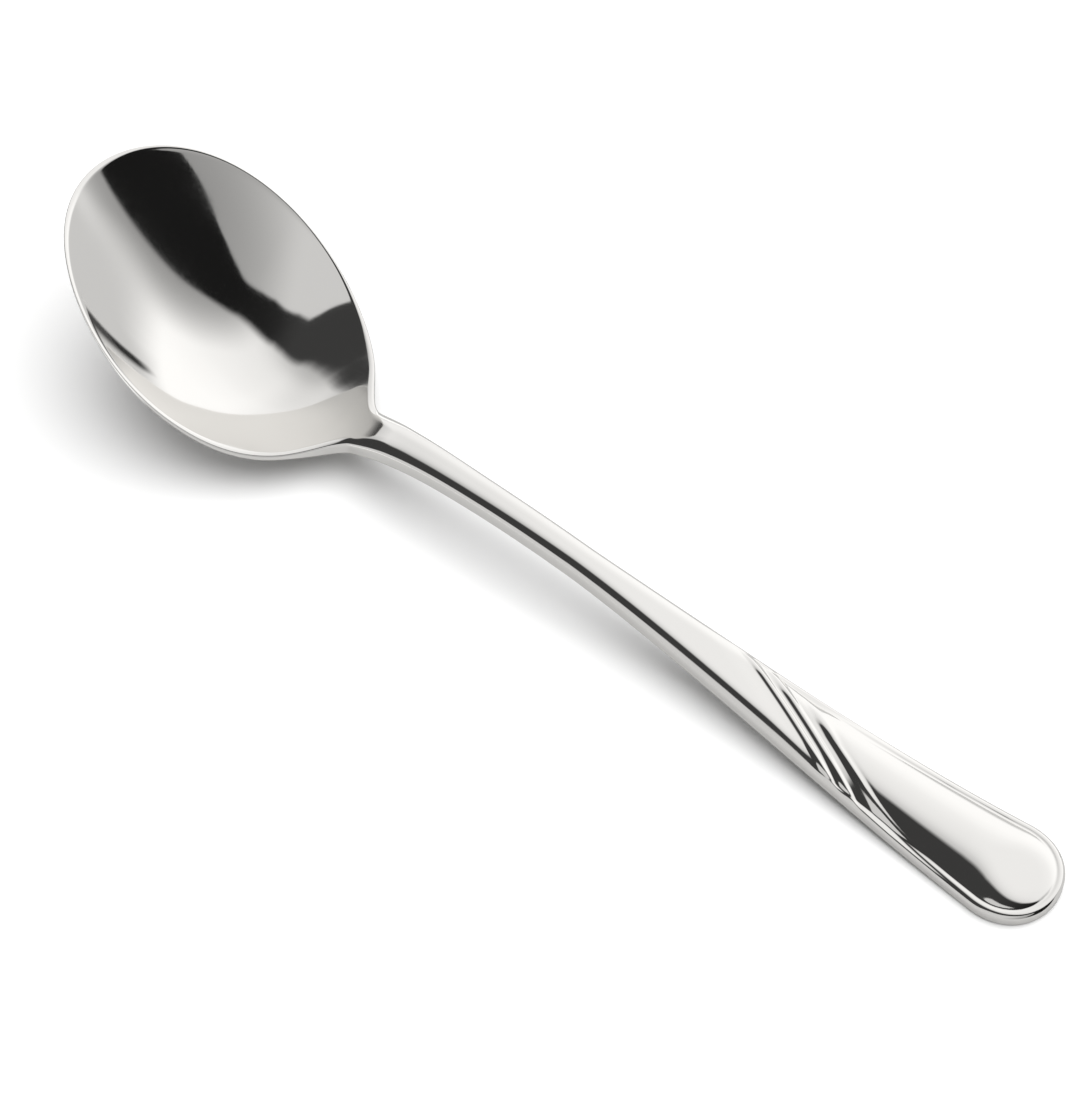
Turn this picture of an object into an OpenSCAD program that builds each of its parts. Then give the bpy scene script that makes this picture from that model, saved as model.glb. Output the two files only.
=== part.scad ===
// Teaspoon, pressed and polished from one blank of stainless steel.
// Lengths in mm. The spoon lies on the table, z = 0, on the underside of its bowl and on the
// tip of its handle. X runs from the lip of the bowl to the tip, Y across, Z up.
// Each region is one skin of points: a top surface, an underside and the edge between them.

/* [Overall] */
// Length in plan, from the lip of the bowl to the tip of the handle
length = 140; // [115:1:180]

/* [Bowl] */
// Length of the bowl in plan, from the lip to the heel
bowl_length = 39.5; // [32:0.5:50]
// Width of the bowl at its widest
bowl_width = 32.07; // [24:0.01:42]
// Depth of the hollow, straight down from the rim
bowl_depth = 7.15; // [5:0.05:12]
// How far behind the lip the hollow is deepest
bowl_deepest = 22; // [15:0.5:25]
// How far behind the bowl's end the hollow runs out in the neck
hollow_run = 5; // [2:0.5:12]
// How much fuller the front half of the rim is than the back half
bowl_egg = 0.05; // [0:0.001:0.15]
// How much narrower both ends of the rim are than those of an ellipse
bowl_taper = 0.088; // [0:0.001:0.2]
// How fast the hollow fades out behind its deepest place: more is faster
hollow_fade = 2.9; // [1.5:0.1:4]
// Power of the hollow's section in front: 2 is a parabola, more is flatter at the bottom
bowl_fullness = 2.3; // [1.8:0.05:3]
// The same power at the heel, where the walls are straighter
heel_fullness = 1.3; // [1:0.05:2.5]
// Rounding at the bottom of the section, as a part of the half width
bowl_round = 0.3; // [0.1:0.02:0.6]
// How much thicker the bowl is under its deepest place
bowl_swell = 0.6; // [0:0.05:1]
// How far the hollow opens beyond the rim at the heel
heel_ease = 1; // [0:0.1:3]
// Height of the lip above the heel
lip_rise = 18.9; // [6:0.1:24]
// Slope of the rim at the lip, falling towards the handle
lip_slope = 0.26; // [0.1:0.01:0.6]
// Thickness of the bowl's wall at the rim, straight down
bowl_wall = 1.15; // [0.9:0.05:2]
// How far before the bowl's end the rim is lowest
heel_setback = 2.5; // [0:0.1:5]

/* [Neck and stem] */
// How far before the bowl's end the fillet to the neck begins
fillet_setback = 4.6; // [2:0.1:6]
// How far behind the bowl's end that fillet ends
neck_run = 1.9; // [1:0.05:8]
// Width of the neck where the fillet ends
neck_width = 6.05; // [4:0.05:9]
// Taper of the neck's sides there
neck_taper = 0.1; // [0:0.01:0.2]
// Height of the neck's side faces
neck_edge = 1.54; // [1:0.02:3]
// Width of the stem at its narrowest
stem_width = 4.04; // [3:0.02:8]
// How far behind the bowl's end the stem is narrowest
stem_waist = 34.2; // [20:0.2:42]
// How far behind the heel the neck's steep rise ends in the shoulder
shoulder_run = 9.2; // [6:0.1:14]
// How far the shoulder lies above the heel
shoulder_rise = 2.95; // [0.5:0.05:5]
// Slope of the top at the shoulder
shoulder_slope = 0.22; // [0:0.01:0.4]
// How far the stem's arch rises above the heel
arch_rise = 3.79; // [0.5:0.01:8]
// How far behind the heel the arch is highest
arch_run = 22.9; // [16:0.1:34]

/* [Handle] */
// Width of the handle at its widest
handle_width = 12.8; // [9:0.1:20]
// How far before the tip the handle reaches that width
widest_setback = 6; // [4:0.5:15]
// Power of the handle's flare: 1 is a straight taper, more keeps the stem slim for longer
handle_flare = 1.37; // [1:0.01:2.5]
// Height of the handle's side face at the tip
tip_edge = 1.35; // [0.9:0.05:3]
// Length of the handle's end that lies flat on the table
tip_flat = 6.8; // [2:0.1:20]
// Length of the rounded tip
tip_round = 7.4; // [5:0.1:10]

/* [Rolled edges] */
// Radius of the wide part of the roll at the bowl's rim
rim_roll = 0.9; // [0.5:0.05:2]
// Radius of its tight part at the rim
rim_edge_roll = 0.4; // [0.2:0.02:0.6]
// Wide radius on the neck and stem, as a part of their half width
stem_roll = 1.29; // [0.8:0.01:1.5]
// Radius of the tight part on the neck and stem
edge_roll = 0.75; // [0.3:0.05:1]
// Largest radius of the domed pad's sides
pad_roll = 8.4; // [3:0.1:12]
// Wide radius at the tip
tip_roll = 2.4; // [1:0.1:5]
// Radius of the tight part round the pad
pad_edge_roll = 0.4; // [0.2:0.05:0.6]
// Distance of the dome's foot from the edge
pad_inset = 0.95; // [0.6:0.05:1.5]
// Rounding of the lower edges
under_round = 0.35; // [0.15:0.05:0.5]
// Angle through which the wide part turns, in degrees
roll_turn = 36; // [20:1:45]
// The same angle where the ribs are, in degrees
flute_turn = 28; // [15:1:40]

/* [Flutes] */
// Number of slanting ribs pressed across the handle
rib_count = 3; // [2:1:5]
// Spacing of the ribs along the handle
rib_pitch = 3.2; // [2.4:0.05:5]
// Height of the ribs
rib_height = 0.26; // [0.1:0.02:0.5]
// Part of the spacing over which a rib rises
rib_rise = 0.62; // [0.4:0.02:0.7]
// How far before the tip the first rib crosses the middle of the handle
rib_start = 37.7; // [30:0.1:50]
// How far a rib runs along the handle from its middle to an edge
rib_lean = 9.2; // [3:0.1:12]
// How much a rib bends along the near edge
rib_bend = 0.8; // [0:0.1:3]

/* [Handle end] */
// Height of the bead round the pad
bead_height = 0.12; // [0:0.01:0.3]
// Distance of the bead's crest from the edge
bead_inset = 0.5; // [0.4:0.05:1.2]
// Softness of the bend from the last rib into the bead
bead_bend = 2.2; // [0.2:0.1:4]

/* [Smoothness] */
// Rows of points along the bowl
bowl_rows = 36; // [24:2:48]
// Points across a face
across = 26; // [16:2:32]

/* [Hidden] */
steel = [0.80, 0.80, 0.79];

// The lip and the tip stop just short of a point, at these parts of their rounding
blunt_lip = 0.995;
blunt_tip = 0.98;

// Where the regions meet, measured from the lip
heel = bowl_length - heel_setback;
hollow_end = bowl_length + hollow_run;
fillet_start = bowl_length - fillet_setback;
bowl_end = bowl_length + neck_run;
shoulder = heel + shoulder_run;
arch = heel + arch_run;
waist = bowl_length + stem_waist;
neck_end = (bowl_end + waist) / 2;
ribs = length - rib_start;
stem_end = ribs - 0.25 * rib_pitch;
ribs_end = ribs + (rib_count - 0.25) * rib_pitch;
widest = length - widest_setback;

// Smooth step from 0 to 1, and a cubic between two points [x, value, slope]
function clip(t, a, b) = min(max(t, a), b);
function ease(t) = let (s = clip(t, 0, 1)) s * s * (3 - 2 * s);
function cubic(x, a, b) =
    let (h = b[0] - a[0], t = (x - a[0]) / h, s = t * t * (3 - 2 * t))
    a[1] * (1 - s) + b[1] * s + h * t * (1 - t) * (a[2] * (1 - t) - b[2] * t);

// Place along the bowl: 1 at the point of the lip, 0 in the middle, -1 behind the heel
function along(x) = blunt_lip * (1 - 2 * x / bowl_length);
function rim_shape(c) = max(1 + bowl_egg * c - bowl_taper * c * c, 0.3);

// Half width in plan: egg-shaped bowl, fillet, neck, then the flare and the blunt rounded tip
function egg(x) = let (c = along(x)) bowl_width / 2 * sqrt(max(1 - c * c, 0)) * rim_shape(c);
egg_slope = (egg(fillet_start + 0.01) - egg(fillet_start - 0.01)) / 0.02;
neck_corner = [bowl_end, neck_width / 2, -neck_taper];
function flare(x) =
    let (t = max(x - waist, 0) / (widest - waist))
    (stem_width + (handle_width - stem_width) * pow(t, handle_flare)) / 2;
function tip(x) = blunt_tip * clip((x - length + tip_round) / tip_round, 0, 1);
function half(x) =
    x < fillet_start ? egg(x) :
    x < bowl_end ? cubic(x, [fillet_start, egg(fillet_start), egg_slope], neck_corner) :
    x < waist ? cubic(x, neck_corner, [waist, stem_width / 2, 0]) :
    flare(x) * sqrt(1 - pow(tip(x), 2));

// Line of the ribs across the handle, at f = -1 on the near edge and 1 on the far edge, and
// the place of a point across the ribs: whole numbers are the middles of their rising flanks
function rib_line(f) = rib_bend * f * f - rib_lean * f;
function rib_place(x, y) = (x - ribs - rib_line(clip(y / flare(x), -1, 1))) / rib_pitch;
rib_gap = rib_pitch * flare(ribs_end) / sqrt(pow(flare(ribs_end), 2) + pow(rib_lean, 2));

// Rolled edge: [wide radius, sine of its turn, tight radius, sine where that begins, foot of the wide part]
function rolls(x, p) =
    let (to_neck = ease((x - fillet_start) / (hollow_end + 4 - fillet_start)),
         stem = stem_roll * half(clip(x, bowl_end, waist)),
         share = (p + 0.7) / (rib_count + 0.7),
         pad = (ease(share) + clip(share, 0, 1)) / 2,
         flute = ease((p + 2) / 2.5) * (1 - ease((p - rib_count + 2) / 2.5)),
         turn = sin(roll_turn) + (sin(flute_turn) - sin(roll_turn)) * flute,
         broad = min(pad_roll, (flare(x) - pad_inset) / sin(roll_turn)),
         dome = broad + (tip_roll - broad) * ease((x - length + 1.35 * tip_round) / (1.2 * tip_round)),
         wide = (rim_roll + (stem - rim_roll) * to_neck) * (1 - pad) + dome * pad,
         tight = (rim_edge_roll + (edge_roll - rim_edge_roll) * to_neck) * (1 - pad) + pad_edge_roll * pad)
    [wide, turn, tight, turn * (1 - pad), tight * (1 - turn) * (1 - pad) + pad_inset * pad];
function roll_height(r) = r[0] * (1 - sqrt(1 - r[1] * r[1])) + r[2] * sqrt(1 - r[3] * r[3]);
function middle_height(x) = roll_height(rolls(x, rib_place(x, 0)));

// How far the rolled edge lies below the face at the distance d from the outline
function roll_drop(r, d) =
    let (e = clip(r[0] * r[1] + r[4] - d, 0, r[0] * r[1]),
         s = clip(1 - d / r[2], r[3], 1))
    r[0] - sqrt(r[0] * r[0] - e * e) + r[2] * (sqrt(1 - r[3] * r[3]) - sqrt(1 - s * s));

// Thickness at the middle of the section: thin at the lip, thick at the heel, thinning to the tip
function thick(x) =
    let (xe = max(x, bowl_end),
         edge = neck_edge + (tip_edge - neck_edge) * min((xe - bowl_end) / (length - tip_flat - bowl_end), 1),
         handle = middle_height(xe) + edge,
         swell = bowl_swell * ease((x / bowl_end - 0.2) / 0.4) * (1 - ease((x / bowl_end - 0.75) / 0.25)))
    bowl_wall + (handle - bowl_wall) * ease((x / bowl_end - 0.24) / 0.5) + swell;

// Hollow of the bowl: round in the middle, steeper towards the rim, running out softly in the neck
function dish(x, v) =
    let (k = bowl_fullness + (heel_fullness - bowl_fullness) * ease((x / bowl_length - 0.44) / 0.36))
    pow(v * v + bowl_round * bowl_round, k / 2) - pow(bowl_round, k);
function hollow(x, y) =
    let (front = clip((bowl_deepest - x) / bowl_deepest, 0, 1),
         back = clip((x - bowl_deepest) / (hollow_end - bowl_deepest), 0, 1),
         depth = bowl_depth * (1 - pow(front, 2.2)) * pow(1 - back * back, hollow_fade),
         open = half(x) + heel_ease * ease((x / bowl_length - 0.6) / 0.3))
    depth * (1 - dish(x, min(abs(y) / open, 1)) / dish(x, 1));

// Side view: down the rim from the lip to the heel, up over the shoulder to the arch, down to the tip.
// The heel's height follows from the underside of the bowl, which touches the table.
function bend(heel_z) = [shoulder, heel_z + shoulder_rise, shoulder_slope];
function arch_edge(heel_z) = [arch, heel_z + arch_rise - middle_height(arch), 0];
function side(x, heel_z) =
    x < heel ? cubic(x, [0, heel_z + lip_rise, -lip_slope], [heel, heel_z, 0]) :
    x < shoulder ? cubic(x, [heel, heel_z, 0], bend(heel_z)) :
    x < arch ? cubic(x, bend(heel_z), [arch, heel_z + arch_rise, 0]) :
    cubic(min(x, length - tip_flat), arch_edge(heel_z), [length - tip_flat, tip_edge, 0]) + middle_height(x);
heel_z = -min([for (i = [8:40]) let (x = i / 40 * bowl_length) side(x, 0) - hollow(x, 0) - thick(x)]);

// Distance in plan from the outline, to first order: round the lip, along the sides, round the tip
function rim_radius(x, y) =
    let (c = along(x)) sqrt(c * c + pow(2 * y / (bowl_width * rim_shape(c)), 2));
function side_inset(x, y) =
    let (slope = (half(x + 0.001) - half(x - 0.001)) / 0.002)
    (half(x) - abs(y)) / sqrt(1 + min(slope * slope, 4));
function rim_inset(x, y) =
    let (gx = (rim_radius(x + 0.001, y) - rim_radius(x - 0.001, y)) / 0.002,
         gy = (rim_radius(x, y + 0.001) - rim_radius(x, y - 0.001)) / 0.002)
    (1 - rim_radius(x, y)) / max(sqrt(gx * gx + gy * gy), 0.02);
function tip_inset(x, y) =
    let (t = tip(x), f = flare(x), r = max(sqrt(t * t + pow(y / f, 2)), 0.000001),
         g = sqrt(pow(y / (f * f), 2) + pow(t / tip_round, 2)) / r)
    (1 - r) / max(g, 0.05);
function inset(x, y) =
    let (back = ease((x / bowl_length - 0.35) / 0.3))
    max(0, x > length - tip_round ? tip_inset(x, y) :
           back < 1 ? rim_inset(x, y) * (1 - back) + side_inset(x, y) * back : side_inset(x, y));

// Ribs across the handle, steeper behind; the crest of the last one runs on as a bead round its end
function rib_wave(t) =
    let (s = t - floor(t))
    (s < rib_rise ? 1 - cos(180 * s / rib_rise) : 1 + cos(180 * (s - rib_rise) / (1 - rib_rise))) / 2;
function relief(p, d) =
    let (t = p + rib_rise / 2,
         rib = t > 0 && t < rib_count - 1 ? rib_wave(t) * ease(d) : 0,
         last = rib_count - 1 + rib_rise / 2,
         pad = ease(p - last),
         over = (p - last) * rib_gap,
         inner = d - bead_inset,
         crest = (over + inner - sqrt(pow(over - inner, 2) + bead_bend * bead_bend)) / 2,
         run = crest > 0 ? (1 - rib_rise) * rib_gap : rib_rise * rib_gap * (1 - pad) + bead_inset * pad,
         ridge = (1 + cos(180 * clip(crest / run, -1, 1))) / 2)
    rib_height * rib + (rib_height + (bead_height - rib_height) * pad) * ridge;

// Height of the top face and of the underside at a point of the plan
function top_z(x, y) =
    let (d = inset(x, y), p = rib_place(x, y), r = rolls(x, p))
    side(x, heel_z) - hollow(x, y) + roll_height(r) - middle_height(x) - roll_drop(r, d) + relief(p, d);
function under_z(x, y) =
    let (v = min(abs(y) / half(x), 1),
         rim = bowl_wall + (thick(x) - bowl_wall) * ease((x - fillet_start) / (bowl_end - fillet_start)),
         wall = rim + (thick(x) - rim) * (1 - v * v),
         u = under_round,
         d = min(inset(x, y), u))
    side(x, heel_z) - hollow(x, y) - wall + u - sqrt(u * u - pow(u - d, 2));

// Places across a row, closer together at the edges
cross = [for (i = [0:across]) -cos(180 * i / across)];

// A row of the top face and the row of the underside below it; slant moves it along the ribs
function row_x(x0, slant, f) = min(x0 + slant * rib_line(f), length);
function upper(x0, slant) =
    [for (f = cross) let (x = row_x(x0, slant, f), y = f * half(x)) [x, y, top_z(x, y)]];
function lower(x0, slant) =
    [for (f = cross) let (x = row_x(x0, slant, f), y = f * half(x)) [x, y, under_z(x, y)]];

// Closed solid between the upper and lower rows at the stations [x, slant]
module skin(stations) {
    m = len(stations);
    n = len(cross);
    top = [for (s = stations) each upper(s[0], s[1])];
    under = [for (s = stations) each lower(s[0], s[1])];
    u = m * n;
    quads = concat(
        [for (i = [0:m - 2], j = [0:n - 2]) [i * n + j, i * n + j + 1, (i + 1) * n + j + 1, (i + 1) * n + j]],
        [for (i = [0:m - 2], j = [0:n - 2])
            [u + i * n + j, u + (i + 1) * n + j, u + (i + 1) * n + j + 1, u + i * n + j + 1]],
        [for (i = [0:m - 2]) [i * n, (i + 1) * n, u + (i + 1) * n, u + i * n]],
        [for (i = [0:m - 2]) let (k = i * n + n - 1) [k, u + k, u + k + n, k + n]],
        [for (j = [0:n - 2]) [j, u + j, u + j + 1, j + 1]],
        [for (j = [0:n - 2]) let (k = (m - 1) * n + j) [k, k + 1, u + k + 1, u + k]]);
    triangles = [for (q = quads) each [[q[0], q[1], q[2]], [q[0], q[2], q[3]]]];
    color(steel) translate([-length / 2, 0, 0])
        polyhedron(concat(top, under), triangles, convexity = 6);
}

// Dished bowl with its rim, from the lip to the end of the fillet
module bowl() {
    turn = acos(1 - 2 * fillet_start / bowl_length);
    n = bowl_rows - 8;
    rim = [for (i = [0:n - 1]) bowl_length * (1 - cos(turn * i / n)) / 2];
    fillet = [for (i = [0:8]) fillet_start + (bowl_end - fillet_start) * i / 8];
    skin([for (x = concat(rim, fillet)) [x, 0]]);
}

// Neck: thickest part, where the hollow runs out
module neck() {
    skin([for (i = [0:10]) [bowl_end + (neck_end - bowl_end) * i / 10, 0]]);
}

// Slim arched stem, ending on the slant of the first rib
module stem() {
    skin([for (i = [0:14]) [neck_end + (stem_end - neck_end) * i / 14, ease(i / 14)]]);
}

// Handle with the slanting ribs, eight rows to a rib
module fluted_grip() {
    n = rib_count * 8;
    skin([for (i = [0:n]) [stem_end + (ribs_end - stem_end) * i / n, 1]]);
}

// End of the handle: domed pad with its bead and the rounded tip
module handle_end() {
    blade = [for (i = [0:15]) let (t = i / 16) [ribs_end + (length - tip_round - ribs_end) * t, 1 - ease(t)]];
    round = [for (i = [0:14]) [length - tip_round + tip_round * sin(79 * i / 14) / sin(79), 0]];
    skin(concat(blade, round));
}

bowl();
neck();
stem();
fluted_grip();
handle_end();
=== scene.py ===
"""Looks of the teaspoon: dense smooth skins for its five regions, polished steel, studio and camera.

The sizes repeat those of the part's source, in mm, with x from the lip of the bowl to the tip of the
handle. Two things differ: the ribs are 0.05 mm lower here, so that their flanks mirror the dark strip,
and the lip and the tip are fully round, where the solids end in a short straight edge. The row frame
has its origin under the middle of the spoon and is in metres.
"""
import math

import bpy
import numpy as np
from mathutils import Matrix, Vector


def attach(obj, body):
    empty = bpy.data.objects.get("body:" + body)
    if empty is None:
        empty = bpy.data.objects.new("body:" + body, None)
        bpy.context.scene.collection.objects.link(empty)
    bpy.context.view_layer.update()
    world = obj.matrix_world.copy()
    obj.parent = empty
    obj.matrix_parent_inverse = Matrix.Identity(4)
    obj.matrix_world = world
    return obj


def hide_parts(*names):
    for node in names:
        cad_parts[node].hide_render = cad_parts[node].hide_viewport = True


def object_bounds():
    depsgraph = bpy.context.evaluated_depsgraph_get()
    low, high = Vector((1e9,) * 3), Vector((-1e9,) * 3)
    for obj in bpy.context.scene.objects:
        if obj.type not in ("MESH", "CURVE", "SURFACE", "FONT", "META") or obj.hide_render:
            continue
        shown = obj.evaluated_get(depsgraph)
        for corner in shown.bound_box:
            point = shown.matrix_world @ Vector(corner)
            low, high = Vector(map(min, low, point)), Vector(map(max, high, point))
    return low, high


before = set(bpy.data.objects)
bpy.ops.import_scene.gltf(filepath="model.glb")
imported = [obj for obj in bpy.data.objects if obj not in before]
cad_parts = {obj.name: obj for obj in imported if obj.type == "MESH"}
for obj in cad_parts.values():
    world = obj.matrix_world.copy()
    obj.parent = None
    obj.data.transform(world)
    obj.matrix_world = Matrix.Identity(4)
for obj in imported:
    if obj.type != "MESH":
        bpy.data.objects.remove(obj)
cad_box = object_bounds()

MM = 0.001

# Overall
length = 140.0

# Bowl
bowl_length = 39.5
bowl_width = 32.07
bowl_depth = 7.15
bowl_egg = 0.05
bowl_taper = 0.088
bowl_fullness = 2.3
heel_fullness = 1.3
bowl_round = 0.3
bowl_deepest = 22.0
hollow_run = 5.0
hollow_fade = 2.9
bowl_swell = 0.6
heel_ease = 1.0
lip_rise = 18.9
lip_slope = 0.26
bowl_wall = 1.15
heel_setback = 2.5

# Neck and stem
fillet_setback = 4.6
neck_run = 1.9
neck_width = 6.05
neck_taper = 0.1
neck_edge = 1.54
stem_width = 4.04
stem_waist = 34.2
shoulder_run = 9.2
shoulder_rise = 2.95
shoulder_slope = 0.22
arch_rise = 3.79
arch_run = 22.9

# Handle
handle_width = 12.8
widest_setback = 6.0
handle_flare = 1.37
tip_edge = 1.35
tip_flat = 6.8
tip_round = 7.4

# Rolled edges
rim_roll = 0.9
rim_edge_roll = 0.4
edge_roll = 0.75
stem_roll = 1.29
pad_roll = 8.4
tip_roll = 2.4
pad_edge_roll = 0.4
pad_inset = 0.95
under_round = 0.35
roll_turn = math.radians(36)
flute_turn = math.radians(28)

# Flutes
rib_count = 3
rib_pitch = 3.2
rib_height = 0.21
rib_rise = 0.62
rib_start = 37.7
rib_lean = 9.2
rib_bend = 0.8

# Handle end
bead_height = 0.12
bead_inset = 0.5
bead_bend = 2.2

# Blends along the bowl, as (start, run) in parts of its length
FULLNESS_BLEND = (0.44, 0.36)
HEEL_BLEND = (0.6, 0.3)
RIM_BLEND = (0.35, 0.3)

# Blends of the thickness, in parts of the length from the lip to the end of the fillet
THICKNESS_BLEND = (0.24, 0.5)
SWELL_RISE = (0.2, 0.4)
SWELL_FALL = (0.75, 0.25)

# Power by which the hollow deepens behind the lip
FRONT_POWER = 2.2

# Blends of the rolled edge: in mm behind the hollow, in ribs, and in parts of the tip's rounding
NECK_ROLL_RUN = 4.0
PAD_LEAD = 0.7
FLUTE_LEAD = 2.0
FLUTE_RUN = 2.5
TIP_ROLL_LEAD = 1.35
TIP_ROLL_RUN = 1.2

# Part of a rib's spacing by which the grip begins and ends before a rib's line
RIB_MARGIN = 0.25
# Distance from the outline over which the ribs fade out, in mm
RIB_FADE = 1.0

# Steps for slopes in mm, and limits that keep the formulas sound outside their own stretch
SLOPE_STEP = 0.01
PLAN_STEP = 0.001
STEEPEST = 2.0
LEAST_RIM = 0.3
LEAST_RIM_SLOPE = 0.02
LEAST_TIP_SLOPE = 0.05
TINY = 1e-6

# Where the regions meet, measured from the lip
heel = bowl_length - heel_setback
hollow_end = bowl_length + hollow_run
fillet_start = bowl_length - fillet_setback
bowl_end = bowl_length + neck_run
shoulder = heel + shoulder_run
arch = heel + arch_run
waist = bowl_length + stem_waist
neck_end = (bowl_end + waist) / 2
ribs = length - rib_start
stem_end = ribs - RIB_MARGIN * rib_pitch
ribs_end = ribs + (rib_count - RIB_MARGIN) * rib_pitch
widest = length - widest_setback
blade_end = length - tip_round
SIN_TURN, SIN_FLUTE = math.sin(roll_turn), math.sin(flute_turn)


def ease(t):
    """Smooth step from 0 to 1."""
    s = np.clip(t, 0, 1)
    return s * s * (3 - 2 * s)


def blend(t, start, run):
    """Smooth step from 0 at start to 1 at start + run."""
    return ease((t - start) / run)


def cubic(x, a, b):
    """Cubic between two points, each (x, value, slope)."""
    h = b[0] - a[0]
    t = (x - a[0]) / h
    s = t * t * (3 - 2 * t)
    return a[1] * (1 - s) + b[1] * s + h * t * (1 - t) * (a[2] * (1 - t) - b[2] * t)


def along(x):
    """Place along the bowl: 1 at the lip, 0 in the middle, -1 behind the heel."""
    return 1 - 2 * x / bowl_length


def rim_shape(c):
    return np.maximum(1 + bowl_egg * c - bowl_taper * c * c, LEAST_RIM)


def egg(x):
    """Half width of the bowl."""
    c = along(x)
    return bowl_width / 2 * np.sqrt(np.maximum(1 - c * c, 0)) * rim_shape(c)


egg_slope = float(egg(fillet_start + SLOPE_STEP) - egg(fillet_start - SLOPE_STEP)) / (2 * SLOPE_STEP)
neck_corner = (bowl_end, neck_width / 2, -neck_taper)


def flare(x):
    """Half width of the handle, leaving out the rounding of its tip."""
    t = np.maximum(x - waist, 0) / (widest - waist)
    return (stem_width + (handle_width - stem_width) * t ** handle_flare) / 2


def tip(x):
    """Place in the rounding of the tip: 0 up to its start, 1 at the very end."""
    return np.clip((x - blade_end) / tip_round, 0, 1)


def half(x):
    """Half width in plan: egg-shaped bowl, fillet, neck, then the flare and the rounded tip."""
    fillet = cubic(x, (fillet_start, egg(fillet_start), egg_slope), neck_corner)
    neck = cubic(x, neck_corner, (waist, stem_width / 2, 0))
    blade = flare(x) * np.sqrt(np.maximum(1 - tip(x) ** 2, 0))
    behind = np.where(x < bowl_end, fillet, np.where(x < waist, neck, blade))
    return np.where(x < fillet_start, egg(x), behind)


rib_gap = rib_pitch * float(flare(ribs_end) / np.hypot(flare(ribs_end), rib_lean))


def rib_line(f):
    """Line of a rib across the handle, at f = -1 on the near edge and 1 on the far edge."""
    return rib_bend * f * f - rib_lean * f


def rib_place(x, y):
    """Place across the ribs, in ribs: whole numbers are the middles of their rising flanks."""
    return (x - ribs - rib_line(np.clip(y / flare(x), -1, 1))) / rib_pitch


def rolls(x, p):
    """Rolled edge, a wide roll that ends in a tight one.

    Gives the wide radius, the sine of its turn, the tight radius, the sine where that one begins, and
    how far from the outline the wide roll ends.
    """
    to_neck = blend(x, fillet_start, hollow_end + NECK_ROLL_RUN - fillet_start)
    wide = rim_roll + (stem_roll * half(np.clip(x, bowl_end, waist)) - rim_roll) * to_neck
    tight = rim_edge_roll + (edge_roll - rim_edge_roll) * to_neck
    share = (p + PAD_LEAD) / (rib_count + PAD_LEAD)
    pad = (ease(share) + np.clip(share, 0, 1)) / 2
    dome = np.minimum(pad_roll, (flare(x) - pad_inset) / SIN_TURN)
    dome = dome + (tip_roll - dome) * blend(x, length - TIP_ROLL_LEAD * tip_round, TIP_ROLL_RUN * tip_round)
    wide = wide + (dome - wide) * pad
    tight = tight + (pad_edge_roll - tight) * pad
    flute = blend(p, -FLUTE_LEAD, FLUTE_RUN) * (1 - blend(p, rib_count - FLUTE_LEAD, FLUTE_RUN))
    turn = SIN_TURN + (SIN_FLUTE - SIN_TURN) * flute
    low = turn * (1 - pad)
    foot = tight * (1 - turn) * (1 - pad) + pad_inset * pad
    return wide, turn, tight, low, foot


def roll_height(x, p):
    """Height of the whole rolled edge, from the outline to the face."""
    wide, turn, tight, low, _ = rolls(x, p)
    return wide * (1 - np.sqrt(1 - turn * turn)) + tight * np.sqrt(1 - low * low)


def middle_height(x):
    return roll_height(x, rib_place(x, 0 * x))


def roll_drop(x, p, d):
    """How far the rolled edge lies below the face at the distance d from the outline."""
    wide, turn, tight, low, foot = rolls(x, p)
    e = np.clip(wide * turn + foot - d, 0, wide * turn)
    s = np.clip(1 - d / tight, low, 1)
    return wide - np.sqrt(wide * wide - e * e) + tight * (np.sqrt(1 - low * low) - np.sqrt(1 - s * s))


def thick(x):
    """Thickness at the middle of the section: thin at the lip, thick at the heel, thinning to the tip."""
    behind = np.maximum(x, bowl_end)
    share = np.minimum((behind - bowl_end) / (length - tip_flat - bowl_end), 1)
    handle = middle_height(behind) + neck_edge + (tip_edge - neck_edge) * share
    swell = bowl_swell * blend(x / bowl_end, *SWELL_RISE) * (1 - blend(x / bowl_end, *SWELL_FALL))
    return bowl_wall + (handle - bowl_wall) * blend(x / bowl_end, *THICKNESS_BLEND) + swell


def dish(x, v):
    """Rise of the hollow across: round in the middle, steeper towards the rim, most of all in front."""
    k = bowl_fullness + (heel_fullness - bowl_fullness) * blend(x / bowl_length, *FULLNESS_BLEND)
    return (v * v + bowl_round ** 2) ** (k / 2) - bowl_round ** k


def hollow(x, y):
    """Depth of the hollow below the rim: a dish in front that runs out softly into the neck."""
    front = np.clip((bowl_deepest - x) / bowl_deepest, 0, 1)
    back = np.clip((x - bowl_deepest) / (hollow_end - bowl_deepest), 0, 1)
    depth = bowl_depth * (1 - front ** FRONT_POWER) * (1 - back * back) ** hollow_fade
    reach = half(x) + heel_ease * blend(x / bowl_length, *HEEL_BLEND)
    return depth * (1 - dish(x, np.minimum(abs(y) / reach, 1)) / dish(x, 1.0))


def side(x, heel_z):
    """Height of the rim in the bowl and of the middle of the top face behind it."""
    bend = (shoulder, heel_z + shoulder_rise, shoulder_slope)
    crown = heel_z + arch_rise
    flat = length - tip_flat
    bowl = cubic(x, (0, heel_z + lip_rise, -lip_slope), (heel, heel_z, 0))
    rise = cubic(x, (heel, heel_z, 0), bend)
    crest = cubic(x, bend, (arch, crown, 0))
    edge = cubic(np.minimum(x, flat), (arch, crown - middle_height(arch), 0), (flat, tip_edge, 0))
    fall = edge + middle_height(x)
    return np.where(x < heel, bowl, np.where(x < shoulder, rise, np.where(x < arch, crest, fall)))


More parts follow.
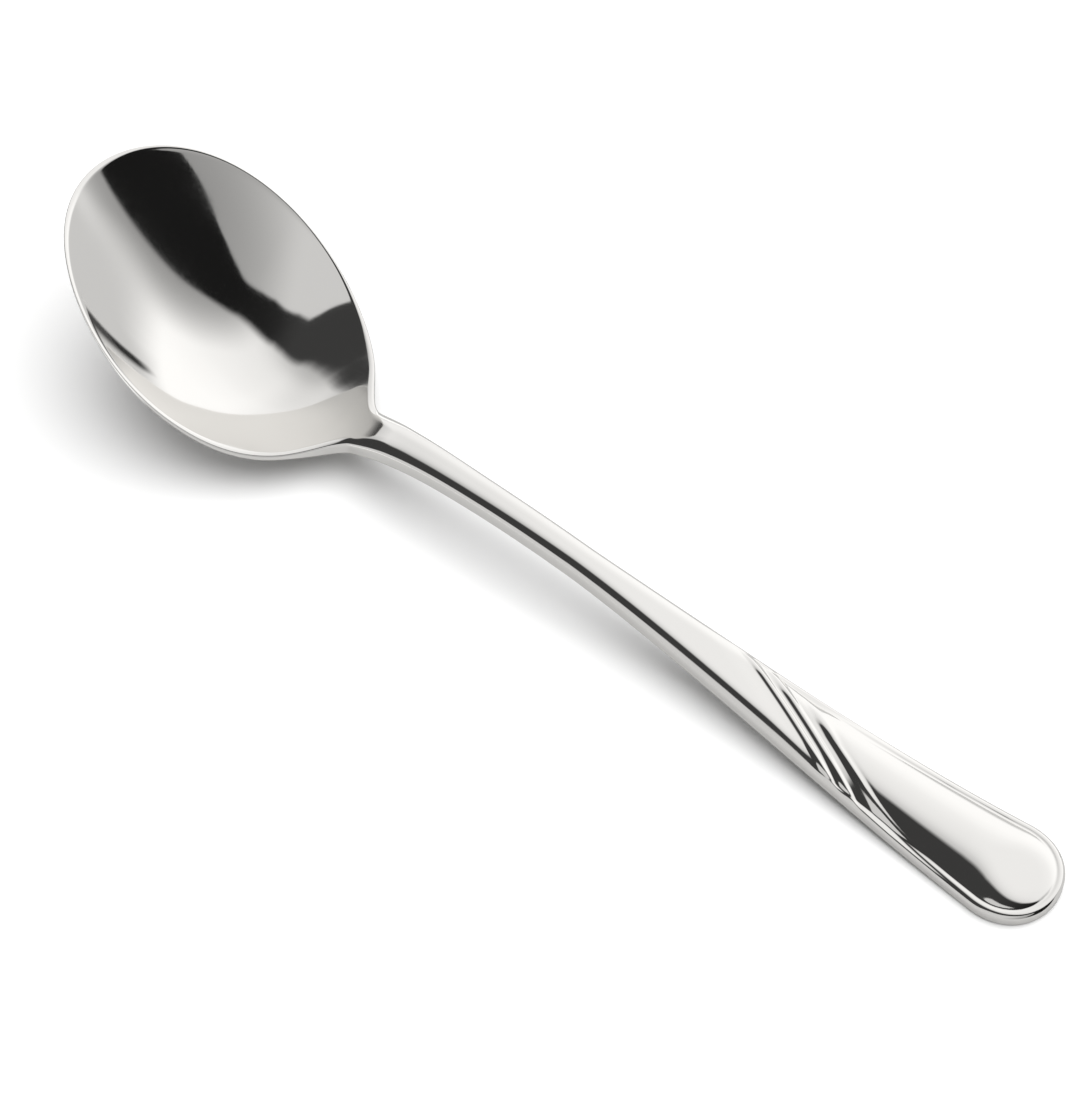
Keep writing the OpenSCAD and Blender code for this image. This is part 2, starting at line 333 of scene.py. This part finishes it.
# The underside of the bowl touches the table, and that sets the heel's height
TOUCH_SPAN = (0.2, 1.0)
TOUCH_STEPS = 32
touch = np.linspace(*TOUCH_SPAN, TOUCH_STEPS + 1) * bowl_length
heel_z = -float(np.min(side(touch, 0.0) - hollow(touch, 0 * touch) - thick(touch)))


def rim_radius(x, y):
    """Distance from the middle of the bowl in parts of the way to its outline."""
    c = along(x)
    return np.sqrt(c * c + (2 * y / (bowl_width * rim_shape(c))) ** 2)


def rim_inset(x, y):
    gx = (rim_radius(x + PLAN_STEP, y) - rim_radius(x - PLAN_STEP, y)) / (2 * PLAN_STEP)
    gy = (rim_radius(x, y + PLAN_STEP) - rim_radius(x, y - PLAN_STEP)) / (2 * PLAN_STEP)
    return (1 - rim_radius(x, y)) / np.maximum(np.hypot(gx, gy), LEAST_RIM_SLOPE)


def side_inset(x, y):
    slope = (half(x + PLAN_STEP) - half(x - PLAN_STEP)) / (2 * PLAN_STEP)
    return (half(x) - abs(y)) / np.sqrt(1 + np.minimum(slope * slope, STEEPEST ** 2))


def tip_inset(x, y):
    t, f = tip(x), flare(x)
    r = np.hypot(t, y / f)
    slope = np.hypot(y / f ** 2, t / tip_round) / np.maximum(r, TINY)
    return (1 - r) / np.maximum(slope, LEAST_TIP_SLOPE)


def inset(x, y):
    """Distance in plan from the outline, to first order: round the lip, along the sides, round the tip."""
    back = blend(x / bowl_length, *RIM_BLEND)
    d = rim_inset(x, y) * (1 - back) + side_inset(x, y) * back
    return np.maximum(np.where(x > blade_end, tip_inset(x, y), d), 0)


def relief(p, d):
    """Ribs across the handle, steeper behind; the crest of the last one runs on as a bead round its end."""
    t = p + rib_rise / 2
    phase = t - np.floor(t)
    rise = 1 - np.cos(np.pi * phase / rib_rise)
    fall = 1 + np.cos(np.pi * (phase - rib_rise) / (1 - rib_rise))
    rib = np.where(phase < rib_rise, rise, fall) / 2
    rib = np.where((t > 0) & (t < rib_count - 1), rib, 0) * ease(d / RIB_FADE)
    last = rib_count - 1 + rib_rise / 2
    pad = ease(p - last)
    across, inner = (p - last) * rib_gap, d - bead_inset
    crest = (across + inner - np.hypot(across - inner, bead_bend)) / 2
    run = np.where(crest > 0, 1 - rib_rise, rib_rise + (bead_inset / rib_gap - rib_rise) * pad) * rib_gap
    ridge = (1 + np.cos(np.pi * np.clip(crest / run, -1, 1))) / 2
    return rib_height * rib + (rib_height + (bead_height - rib_height) * pad) * ridge


def top(x, y):
    """Height of the top face at a point of the plan."""
    d, p = inset(x, y), rib_place(x, y)
    dome = roll_height(x, p) - middle_height(x)
    return side(x, heel_z) - hollow(x, y) + dome - roll_drop(x, p, d) + relief(p, d)


def under(x, y):
    """Height of the underside at a point of the plan."""
    v = np.minimum(abs(y) / half(x), 1)
    rim = bowl_wall + (thick(x) - bowl_wall) * blend(x, fillet_start, bowl_end - fillet_start)
    wall = rim + (thick(x) - rim) * (1 - v * v)
    d = np.minimum(inset(x, y), under_round)
    edge = under_round - np.sqrt(under_round ** 2 - (under_round - d) ** 2)
    return side(x, heel_z) - hollow(x, y) - wall + edge


# Steps between the points across the faces, and between the rows along each stretch
TOP_STEPS, UNDER_STEPS = 88, 48
LIP_ROWS, FILLET_ROWS, NECK_ROWS, STEM_ROWS = 120, 24, 32, 64
RIB_ROWS, BLADE_ROWS, TIP_ROWS = 32, 64, 56
# Angle that the first and the last row keep from the point of the lip and of the tip
POINT_GAP = 0.012


def spread(start, end, count):
    """Even steps from start to end."""
    return [start + (end - start) * i / count for i in range(count + 1)]


# Rows of points along the spoon, as (x, part of the ribs' slant)
lip_turn = math.acos(1 - 2 * fillet_start / bowl_length)
tip_turn = math.pi / 2 - POINT_GAP
lip_angles = spread(POINT_GAP, lip_turn, LIP_ROWS)[:-1]
blade_steps = spread(0, 1, BLADE_ROWS)[:-1]
bowl_rows = [(bowl_length * (1 - math.cos(a)) / 2, 0.0) for a in lip_angles]
bowl_rows += [(x, 0.0) for x in spread(fillet_start, bowl_end, FILLET_ROWS)]
neck_rows = [(x, 0.0) for x in spread(bowl_end, neck_end, NECK_ROWS)]
stem_rows = [(neck_end + (stem_end - neck_end) * t, float(ease(t))) for t in spread(0, 1, STEM_ROWS)]
grip_rows = [(x, 1.0) for x in spread(stem_end, ribs_end, RIB_ROWS * rib_count)]
end_rows = [(ribs_end + (blade_end - ribs_end) * t, 1 - float(ease(t))) for t in blade_steps]
end_rows += [(blade_end + tip_round * math.sin(a), 0.0) for a in spread(0, tip_turn, TIP_ROWS)]
REGIONS = {"bowl": bowl_rows, "neck": neck_rows, "stem": stem_rows, "fluted_grip": grip_rows,
           "handle_end": end_rows}

rows, spans = [], {}
for name, part in REGIONS.items():
    first = max(len(rows) - 1, 0)
    rows += part if not rows else part[1:]
    spans[name] = (first, len(rows) - 1)


def places_across(steps):
    """Places across a row, from -1 to 1, closer together at the edges."""
    return -np.cos(np.pi * np.arange(steps + 1) / steps)


def section(f, surface):
    """Points of a face, row by row, in metres."""
    x0 = np.array([r[0] for r in rows])[:, None]
    slant = np.array([r[1] for r in rows])[:, None]
    x = np.minimum(x0 + slant * rib_line(f)[None], rows[-1][0])
    y = f[None] * half(x)
    return np.stack([x - length / 2, y, surface(x, y)], -1) * MM


upper, lower = section(places_across(TOP_STEPS), top), section(places_across(UNDER_STEPS), under)
loop = np.concatenate([upper, lower[:, ::-1]], 1)
COLS = loop.shape[1]
# Kept inside the solids' box: their faceted rim is a hair narrower, and nothing goes under the table
loop[..., 1] *= cad_box[1][1] / np.abs(loop[..., 1]).max()
loop[..., 2] = np.maximum(loop[..., 2], cad_box[0][2])

# Normals from the grid itself, so that they run on from region to region
along_rows = np.gradient(loop, axis=0)
around = np.roll(loop, -1, 1) - np.roll(loop, 1, 1)
normals = np.cross(along_rows, around)
normals /= np.maximum(np.linalg.norm(normals, axis=-1, keepdims=True), np.finfo(float).tiny)
if normals[len(rows) // 4, TOP_STEPS // 2, 2] < 0:
    normals = -normals


def region_mesh(name, first, last):
    """Closed skin of the rows first to last, capped at both ends."""
    steps = last - first
    faces = []
    for i in range(steps):
        for j in range(COLS):
            k = (j + 1) % COLS
            faces.append((i * COLS + j, i * COLS + k, (i + 1) * COLS + k, (i + 1) * COLS + j))
    skin_faces = len(faces)
    faces.append(tuple(range(COLS - 1, -1, -1)))
    faces.append(tuple(range(steps * COLS, (steps + 1) * COLS)))
    mesh = bpy.data.meshes.new(name)
    mesh.from_pydata(loop[first:last + 1].reshape(-1, 3).tolist(), [], faces)
    mesh.update()
    if mesh.polygons[TOP_STEPS // 2].normal.z < 0:
        mesh.flip_normals()
    mesh.polygons.foreach_set("use_smooth", [True] * skin_faces + [False] * 2)
    index = np.empty(len(mesh.loops), dtype=np.int32)
    mesh.loops.foreach_get("vertex_index", index)
    corners = normals[first:last + 1].reshape(-1, 3)[index]
    for cap in mesh.polygons[skin_faces:]:
        corners[cap.loop_start:cap.loop_start + cap.loop_total] = cap.normal
    mesh.normals_split_custom_set(corners.tolist())
    return mesh


def node(tree, kind, **settings):
    n = tree.nodes.new(kind)
    for key, value in settings.items():
        setattr(n, key, value)
    return n


def feed(tree, socket, value):
    """Set a socket to a number or a colour, or link an output to it."""
    if isinstance(value, (int, float, tuple)):
        socket.default_value = value
    else:
        tree.links.new(value, socket)


def math_node(tree, operation, *values):
    n = node(tree, "ShaderNodeMath", operation=operation)
    for socket, value in zip(n.inputs, values):
        feed(tree, socket, value)
    return n.outputs[0]


def product(tree, *factors):
    total = factors[0]
    for factor in factors[1:]:
        total = math_node(tree, "MULTIPLY", total, factor)
    return total


def smooth_step(tree, value, low, high, to_low=0.0, to_high=1.0):
    n = node(tree, "ShaderNodeMapRange", interpolation_type="SMOOTHSTEP")
    settings = {"Value": value, "From Min": low, "From Max": high, "To Min": to_low, "To Max": to_high}
    for key, v in settings.items():
        feed(tree, n.inputs[key], v)
    return n.outputs[0]


def mix(tree, kind, a, b, factor):
    """From a to b as the factor goes from 0 to 1; kind is FLOAT or RGBA."""
    n = node(tree, "ShaderNodeMix", data_type=kind)
    for key, value in {"Factor": factor, "A": a, "B": b}.items():
        feed(tree, n.inputs[key], value)
    return n.outputs["Result"]


def curve_of(tree, value, points):
    """Straight lines through (x, y) points, with x from -1 to 1."""
    heights = [y for _, y in points]
    low, high = min(heights), max(heights)
    n = node(tree, "ShaderNodeFloatCurve")
    curve = n.mapping.curves[0]
    places = [((x + 1) / 2, (y - low) / (high - low)) for x, y in points]
    curve.points[0].location = places[0]
    curve.points[1].location = places[-1]
    for place in places[1:-1]:
        curve.points.new(*place)
    for point in curve.points:
        point.handle_type = "VECTOR"
    n.mapping.update()
    tree.links.new(math_node(tree, "MULTIPLY_ADD", value, 0.5, 0.5), n.inputs["Value"])
    return math_node(tree, "MULTIPLY_ADD", n.outputs[0], high - low, low)


# Steel: its two tones, and how rough the polish and the buffing marks make it, as (noise from, to,
# roughness from, to)
STEEL_LIGHT = (0.9, 0.887, 0.865, 1)
STEEL_DARK = (0.88, 0.867, 0.843, 1)
POLISH = (0.35, 0.7, 0.045, 0.075)
BUFFING = (0.3, 0.75, -0.008, 0.012)
# Marks to the metre along and across the spoon, and cloudy patches to the metre
MARK_SCALE = (300, 2600, 2600)
CLOUD_SCALE = 90.0
MARK_DEPTH = 0.02 * MM


def steel_material():
    """Mirror-polished stainless steel with faint buffing marks and a slightly uneven polish."""
    mat = bpy.data.materials.new("polished_steel")
    mat.use_nodes = True
    t = mat.node_tree
    t.nodes.clear()
    out = node(t, "ShaderNodeOutputMaterial")
    shader = node(t, "ShaderNodeBsdfPrincipled")
    t.links.new(shader.outputs[0], out.inputs["Surface"])
    shader.inputs["Metallic"].default_value = 1.0
    place = node(t, "ShaderNodeTexCoord")
    stretch = node(t, "ShaderNodeMapping")
    stretch.inputs["Scale"].default_value = MARK_SCALE
    t.links.new(place.outputs["Object"], stretch.inputs["Vector"])
    marks = node(t, "ShaderNodeTexNoise")
    marks.inputs["Scale"].default_value = 1.0
    marks.inputs["Detail"].default_value = 3.0
    t.links.new(stretch.outputs[0], marks.inputs["Vector"])
    cloud = node(t, "ShaderNodeTexNoise")
    cloud.inputs["Scale"].default_value = CLOUD_SCALE
    cloud.inputs["Detail"].default_value = 2.0
    t.links.new(place.outputs["Object"], cloud.inputs["Vector"])
    rough = smooth_step(t, cloud.outputs["Fac"], *POLISH)
    fine = smooth_step(t, marks.outputs["Fac"], *BUFFING)
    t.links.new(math_node(t, "ADD", rough, fine), shader.inputs["Roughness"])
    tone = mix(t, "RGBA", STEEL_LIGHT, STEEL_DARK, cloud.outputs["Fac"])
    t.links.new(tone, shader.inputs["Base Color"])
    bump = node(t, "ShaderNodeBump")
    bump.inputs["Strength"].default_value = 0.02
    bump.inputs["Distance"].default_value = MARK_DEPTH
    t.links.new(marks.outputs["Fac"], bump.inputs["Height"])
    t.links.new(bump.outputs[0], shader.inputs["Normal"])
    return mat


steel = steel_material()
for name, (first, last) in spans.items():
    piece = bpy.data.objects.new("spoon_" + name, region_mesh("spoon_" + name, first, last))
    bpy.context.scene.collection.objects.link(piece)
    piece.data.materials.append(steel)
    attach(piece, "root")
    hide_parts(name)


# Level of the room for the table, which the key lamp lights for the most part
SOFT_LIGHT = 0.27
QUARTER_TURN = 90

# Dark strip over the camera's side: its two edges, as (x of the direction, angle about X from straight up)
UPPER_EDGE = ((-1, 32), (-0.9, 24), (-0.87, 20), (-0.82, 12), (-0.74, 3), (-0.67, -3), (-0.55, -8),
              (-0.4, -10), (-0.3, -9), (-0.2, -6.5), (-0.1, -5), (0, -4), (0.2, -2.5), (0.4, 1), (0.55, 7),
              (0.64, 13), (0.68, 17), (0.72, 25), (0.74, 31), (0.75, 38), (0.765, 44), (0.8, 47), (1, 50))
LOWER_EDGE = ((-1, -58), (-0.8, -51), (-0.6, -45), (-0.5, -44), (-0.3, -42), (-0.2, -40), (-0.12, -36),
              (-0.06, -31), (0.02, -27), (0.2, -25), (0.4, -20.5), (0.55, -16), (0.65, -10), (0.74, -2.5),
              (0.78, -6), (0.81, -12), (0.82, -19), (0.83, -29), (0.87, -50), (1, -60))
# Edge of the greyer wall that the lip faces, in the same terms
WALL_EDGE = ((-1, 90), (0, 89), (0.1, 87), (0.225, 83), (0.375, 78), (0.45, 74), (0.525, 69), (0.6, 63),
             (0.675, 57), (0.74, 50), (1, 40))
# Half widths of the soft edges, in degrees
STRIP_SOFTNESS = 4
FOOT_SOFTNESS = 1.5
WALL_SOFTNESS = 5

# Brightness of the room, as (angle about X in quarter turns, level), and of the greyer wall
ROOM_LEVEL = ((-1, 0.5), (-0.12, 0.47), (-0.05, 0.6), (0, 0.68), (0.06, 0.79), (0.12, 0.86), (0.2, 0.91),
              (0.35, 0.95), (0.5, 1), (0.6, 1.06), (0.75, 1.12), (1, 1.14))
WALL_LEVEL = 0.64
# Ramps of brightness, as (x of the direction from, to, level from, to)
FAR_LEFT_RAMP = (-0.93, -0.76, 0.6, 1.0)
LEFT_RAMP = (-0.65, -0.05, 0.87, 1.0)
RIGHT_RAMP = (0.56, 0.76, 1.0, 0.35)
STRIP_RAMP = (0.0, 0.8, 0.045, 0.01)
PANEL_RAMP = (0.35, 1.08, 0.66, 0.2)
# The panel is what lies under the strip on the camera's side, which ends here by y of the direction
PANEL_SIDE = (-0.1, 0.1)

# Dark gap at the far edge of the table: where it starts and ends, by x of the direction, and its angle
GAP_LEFT = (0.15, 0.21)
GAP_RIGHT = (0.23, 0.26)
GAP_ANGLE = (82, 87)
GAP_LEVEL = 0.03


def gap_across(tree, x):
    """1 in the dark gap, by x of the direction."""
    return product(tree, smooth_step(tree, x, *GAP_LEFT), smooth_step(tree, x, *GAP_RIGHT, 1, 0))


def studio_world():
    """White room round the table, with a dark strip on the camera's side and a greyer wall before the lip."""
    world = bpy.data.worlds.new("studio")
    bpy.context.scene.world = world
    world.use_nodes = True
    t = world.node_tree
    t.nodes.clear()
    place = node(t, "ShaderNodeTexCoord")
    split = node(t, "ShaderNodeSeparateXYZ")
    t.links.new(place.outputs["Generated"], split.inputs[0])
    x, y, z = split.outputs
    angle = math_node(t, "MULTIPLY", math_node(t, "ARCTAN2", y, z), math.degrees(1))

    def over(edge, softness):
        rise = math_node(t, "SUBTRACT", angle, curve_of(t, x, edge))
        return smooth_step(t, math_node(t, "DIVIDE", rise, softness), -1, 1)

    def ramp(settings):
        return smooth_step(t, x, *settings)

    over_strip = over(UPPER_EDGE, STRIP_SOFTNESS)
    over_foot = over(LOWER_EDGE, FOOT_SOFTNESS)
    strip = product(t, math_node(t, "SUBTRACT", 1.0, over_strip), over_foot)
    panel = product(t, math_node(t, "SUBTRACT", 1.0, over_foot), smooth_step(t, y, *PANEL_SIDE, 1, 0))
    gap = product(t, gap_across(t, x), smooth_step(t, angle, *GAP_ANGLE))
    room = curve_of(t, math_node(t, "MULTIPLY", angle, 1 / QUARTER_TURN), ROOM_LEVEL)
    level = product(t, room, ramp(FAR_LEFT_RAMP), ramp(LEFT_RAMP), ramp(RIGHT_RAMP))
    level = mix(t, "FLOAT", level, WALL_LEVEL, over(WALL_EDGE, WALL_SOFTNESS))
    level = mix(t, "FLOAT", level, ramp(PANEL_RAMP), panel)
    level = mix(t, "FLOAT", level, ramp(STRIP_RAMP), strip)
    level = mix(t, "FLOAT", level, GAP_LEVEL, gap)
    rays = node(t, "ShaderNodeLightPath")
    level = mix(t, "FLOAT", SOFT_LIGHT, level, rays.outputs["Is Glossy Ray"])
    level = mix(t, "FLOAT", level, 1.0, rays.outputs["Is Camera Ray"])
    back = node(t, "ShaderNodeBackground")
    back.inputs["Color"].default_value = (1, 1, 1, 1)
    t.links.new(level, back.inputs["Strength"])
    out = node(t, "ShaderNodeOutputWorld")
    t.links.new(back.outputs[0], out.inputs["Surface"])


# Table: its reach each way, its colour, and its colours where the steel mirrors it: painted shade, or in the
# gap
FLOOR_REACH = 1.2
TABLE_COLOUR = (0.94, 0.94, 0.938, 1)
PAINTED_SHADE_COLOUR = (0.5, 0.5, 0.498, 1)
GAP_COLOUR = (GAP_LEVEL, GAP_LEVEL, GAP_LEVEL, 1)
# Where the painted shade lies and where the gap is, by x and y of the direction from under the bowl
BOWL_PLACE = (-0.055, -0.01, 0)
PAINTED_SHADE_RIGHT = (-0.3, 0.1)
PAINTED_SHADE_LEFT = (-0.8, -0.55)
GAP_BEHIND = (0.2, 0.5)


def table_material():
    """Matt white; where the steel mirrors it, painted shade darkens it to the sides and a dark gap lies
    behind.
    """
    mat = bpy.data.materials.new("white_table")
    mat.use_nodes = True
    t = mat.node_tree
    shader = t.nodes["Principled BSDF"]
    place = node(t, "ShaderNodeTexCoord")
    off = node(t, "ShaderNodeVectorMath", operation="SUBTRACT")
    t.links.new(place.outputs["Object"], off.inputs[0])
    off.inputs[1].default_value = BOWL_PLACE
    aim = node(t, "ShaderNodeVectorMath", operation="NORMALIZE")
    t.links.new(off.outputs[0], aim.inputs[0])
    split = node(t, "ShaderNodeSeparateXYZ")
    t.links.new(aim.outputs[0], split.inputs[0])
    x, y = split.outputs["X"], split.outputs["Y"]
    glossy = node(t, "ShaderNodeLightPath").outputs["Is Glossy Ray"]
    # Painted shade: the table is darker to the right and left, seen only in the steel's reflections
    painted_shade = math_node(t, "MAXIMUM", smooth_step(t, x, *PAINTED_SHADE_RIGHT), smooth_step(t, x, *PAINTED_SHADE_LEFT, 1, 0))
    gap = product(t, gap_across(t, x), smooth_step(t, y, *GAP_BEHIND), glossy)
    tone = mix(t, "RGBA", TABLE_COLOUR, PAINTED_SHADE_COLOUR, product(t, glossy, painted_shade))
    t.links.new(mix(t, "RGBA", tone, GAP_COLOUR, gap), shader.inputs["Base Color"])
    shader.inputs["Roughness"].default_value = 0.9
    shader.inputs["Specular IOR Level"].default_value = 0.1
    return mat


def floor_piece():
    mesh = bpy.data.meshes.new("floor")
    r = FLOOR_REACH
    mesh.from_pydata([(-r, -r, 0), (r, -r, 0), (r, r, 0), (-r, r, 0)], [], [(0, 1, 2, 3)])
    mesh.update()
    mesh.materials.append(table_material())
    floor = bpy.data.objects.new("floor", mesh)
    bpy.context.scene.collection.objects.link(floor)


KEY_PLACE = Vector((0.33, 0.42, 2.7))
KEY_SIZE = 3.6
KEY_POWER = 110.0


def key_lamp():
    """Broad soft lamp above the table, which the steel doesn't mirror."""
    light = bpy.data.lights.new("key", "AREA")
    light.shape = "DISK"
    light.size = KEY_SIZE
    light.energy = KEY_POWER
    lamp = bpy.data.objects.new("key", light)
    bpy.context.scene.collection.objects.link(lamp)
    lamp.location = KEY_PLACE
    lamp.rotation_euler = (-KEY_PLACE).to_track_quat("-Z", "Y").to_euler()
    lamp.visible_glossy = False


# Camera: its direction and distance from a point above the middle of the spoon, and the photograph's
# focal length, height and shift in its own pixels
AZIMUTH, ELEVATION = math.radians(37.82), math.radians(55.91)
DISTANCE = 0.35797
TARGET = Vector((0, 0, 0.005))
FOCAL_PX, HEIGHT_PX = 3056.7, 1113
SHIFT_X_PX, SHIFT_Y_PX = -14.39, 3.1
SENSOR = 36


def photo_camera():
    """Camera fitted to the outline in the photograph."""
    level = math.cos(ELEVATION)
    back = Vector((math.sin(AZIMUTH) * level, -math.cos(AZIMUTH) * level, math.sin(ELEVATION)))
    optics = bpy.data.cameras.new("camera")
    optics.sensor_fit = "AUTO"
    optics.sensor_width = SENSOR
    optics.lens = FOCAL_PX / HEIGHT_PX * SENSOR
    optics.shift_x = SHIFT_X_PX / HEIGHT_PX
    optics.shift_y = SHIFT_Y_PX / HEIGHT_PX
    optics.clip_start, optics.clip_end = 0.01, 20
    camera = bpy.data.objects.new("camera", optics)
    bpy.context.scene.collection.objects.link(camera)
    camera.location = TARGET + back * DISTANCE
    camera.rotation_euler = (-back).to_track_quat("-Z", "Y").to_euler()
    bpy.context.scene.camera = camera


studio_world()
floor_piece()
key_lamp()
photo_camera()
bpy.context.scene.view_settings.view_transform = "Standard"
